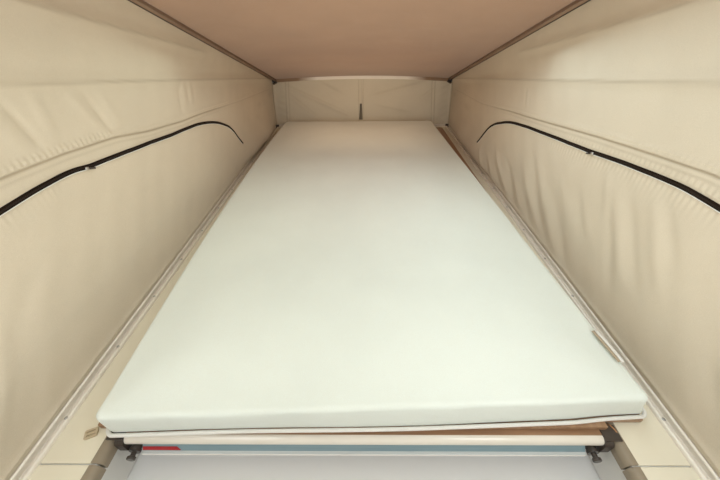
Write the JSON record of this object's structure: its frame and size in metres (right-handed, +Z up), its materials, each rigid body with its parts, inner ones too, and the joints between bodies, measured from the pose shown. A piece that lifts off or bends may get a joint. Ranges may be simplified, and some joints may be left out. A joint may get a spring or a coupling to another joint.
{
  "type": "camper van elevating roof with roof bed",
  "caption": "Tilting pop-up roof of a camper van on its frame, with canvas walls, gas struts, latches and a lifting roof bed inside.",
  "frame": {"origin": "middle of the unit at the bottom of the lining that drops through the van's roof", "axes": "+Z up, +Y from the high end, where people climb in, to the low hinged end, +X to the right of someone looking along +Y"},
  "size_m": [1.6, 3.65, 1.3532],
  "materials": {
    "frame_moulding": "smooth moulded",
    "roof_paint": "gloss gelcoat",
    "headliner_trim": "matt lining cloth",
    "seal_rubber": "matt",
    "ledge_board": "satin",
    "edge_trim": "satin",
    "rail_alloy": "brushed",
    "rail_mauve": "satin",
    "plated_steel": "plated",
    "ledge_clip": "satin",
    "canvas": "woven, coated",
    "bed_plywood": "varnished",
    "mattress_cloth": "woven cover",
    "bracket_plastic": "satin",
    "knob_plastic": "smooth",
    "strut_black": "gloss paint",
    "rod_steel": "polished"
  },
  "bodies": {
    "frame": {"base_flange": "frame_moulding", "base_deck": "frame_moulding", "base_lining": "frame_moulding", "ledge_panel_right": "ledge_board", "ledge_panel_left": "ledge_board", "ledge_panel_ends": "ledge_board", "edge_trim_right": "edge_trim", "edge_trim_left": "edge_trim", "edge_trim_ends": "edge_trim", "lower_rail_right": "rail_alloy", "lower_rail_left": "rail_alloy", "lower_rail_ends": "rail_alloy", "frame_seal": "seal_rubber", "roof_hinge_bases": "plated_steel", "roof_strut_deck_brackets": "plated_steel", "bed_hinge_bases": "plated_steel", "bed_spring_frame_brackets": "plated_steel", "bed_pads": "seal_rubber", "ledge_hooks": "ledge_clip", "latch_feet": "plated_steel", "canvas_right": "canvas", "canvas_left": "canvas", "canvas_low_end": "canvas", "canvas_high_end": "canvas"},
    "roof": {"roof_shell": "roof_paint", "headliner": "headliner_trim", "upper_rail_right": "rail_mauve", "upper_rail_left": "rail_mauve", "upper_rail_low_end": "rail_alloy", "upper_rail_high_end": "rail_alloy", "roof_hinge_lugs": "plated_steel", "roof_strut_roof_brackets": "plated_steel", "latch_keepers": "plated_steel"},
    "bed": {"bed_board": "bed_plywood", "mattress": "mattress_cloth", "bed_bearers": "rail_alloy", "bed_cross_bars": "rail_alloy", "bed_beam": "rail_alloy", "beam_bracket_right": "bracket_plastic", "beam_bracket_left": "bracket_plastic", "beam_knobs": "knob_plastic", "bed_hinge_leaves": "plated_steel", "bed_spring_board_brackets": "plated_steel"},
    "strut_tube_left": {"roof_strut_tube_left": "strut_black"},
    "strut_rod_left": {"roof_strut_rod_left": "rod_steel"},
    "spring_tube_left": {"bed_spring_tube_left": "strut_black"},
    "spring_rod_left": {"bed_spring_rod_left": "rod_steel"},
    "strut_tube_right": {"roof_strut_tube_right": "strut_black"},
    "strut_rod_right": {"roof_strut_rod_right": "rod_steel"},
    "spring_tube_right": {"bed_spring_tube_right": "strut_black"},
    "spring_rod_right": {"bed_spring_rod_right": "rod_steel"},
    "latch_front_left": {"latch_front_left": "bracket_plastic"},
    "latch_front_right": {"latch_front_right": "bracket_plastic"},
    "latch_side_left": {"latch_side_left": "bracket_plastic"},
    "latch_side_right": {"latch_side_right": "bracket_plastic"}
  },
  "joints": [
    {"name": "roof_hinge", "type": "hinge", "parent": "frame", "child": "roof", "pos_m": [0, 1.675, 0.15], "axis": [1, 0, 0], "range_deg": [0, 17.27], "deforming": ["canvas_left", "canvas_right", "canvas_low_end", "canvas_high_end"]},
    {"name": "bed_hinge", "type": "hinge", "parent": "frame", "child": "bed", "pos_m": [0, 1.092, 0.152], "axis": [1, 0, 0], "range_deg": [-20, 0]},
    {"name": "roof_strut_turn_left", "type": "hinge", "parent": "frame", "child": "strut_tube_left", "pos_m": [-0.7225, 0.445, 0.156], "axis": [1, 0, 0], "range_deg": [0, 41.62]},
    {"name": "roof_strut_slide_left", "type": "slide", "parent": "strut_tube_left", "child": "strut_rod_left", "axis": [0, -0.716, 0.6981], "range_m": [-0.14882, 0]},
    {"name": "bed_spring_turn_left", "type": "hinge", "parent": "frame", "child": "spring_tube_left", "pos_m": [-0.522, 0.68, 0.062], "axis": [1, 0, 0], "range_deg": [-36.45, 0]},
    {"name": "bed_spring_slide_left", "type": "slide", "parent": "spring_tube_left", "child": "spring_rod_left", "axis": [0, -0.9899, 0.1414], "range_m": [0, 0.09249]},
    {"name": "roof_strut_turn_right", "type": "hinge", "parent": "frame", "child": "strut_tube_right", "pos_m": [0.7225, 0.445, 0.156], "axis": [1, 0, 0], "range_deg": [0, 41.62]},
    {"name": "roof_strut_slide_right", "type": "slide", "parent": "strut_tube_right", "child": "strut_rod_right", "axis": [0, -0.716, 0.6981], "range_m": [-0.14882, 0]},
    {"name": "bed_spring_turn_right", "type": "hinge", "parent": "frame", "child": "spring_tube_right", "pos_m": [0.522, 0.68, 0.062], "axis": [1, 0, 0], "range_deg": [-36.45, 0]},
    {"name": "bed_spring_slide_right", "type": "slide", "parent": "spring_tube_right", "child": "spring_rod_right", "axis": [0, -0.9899, 0.1414], "range_m": [0, 0.09249]},
    {"name": "latch_front_left_turn", "type": "hinge", "parent": "frame", "child": "latch_front_left", "pos_m": [-0.33, -1.632, 0.147], "axis": [0, -1, 0], "range_deg": [0, 90]},
    {"name": "latch_front_right_turn", "type": "hinge", "parent": "frame", "child": "latch_front_right", "pos_m": [0.33, -1.632, 0.147], "axis": [0, 1, 0], "range_deg": [0, 90]},
    {"name": "latch_side_left_turn", "type": "hinge", "parent": "frame", "child": "latch_side_left", "pos_m": [-0.624, -1.345, 0.147], "axis": [-1, 0, 0], "range_deg": [0, 90]},
    {"name": "latch_side_right_turn", "type": "hinge", "parent": "frame", "child": "latch_side_right", "pos_m": [0.624, -1.345, 0.147], "axis": [-1, 0, 0], "range_deg": [0, 90]}
  ],
  "couplings": [
    {"joint": "roof_strut_turn_left", "follows": "roof_hinge", "ratio": 2.4094},
    {"joint": "roof_strut_slide_left", "follows": "roof_hinge", "m_per_rad": -0.49367},
    {"joint": "bed_spring_turn_left", "follows": "bed_hinge", "ratio": 1.8222},
    {"joint": "bed_spring_slide_left", "follows": "bed_hinge", "m_per_rad": -0.26491},
    {"joint": "roof_strut_turn_right", "follows": "roof_hinge", "ratio": 2.4094},
    {"joint": "roof_strut_slide_right", "follows": "roof_hinge", "m_per_rad": -0.49367},
    {"joint": "bed_spring_turn_right", "follows": "bed_hinge", "ratio": 1.8222},
    {"joint": "bed_spring_slide_right", "follows": "bed_hinge", "m_per_rad": -0.26491}
  ]
}
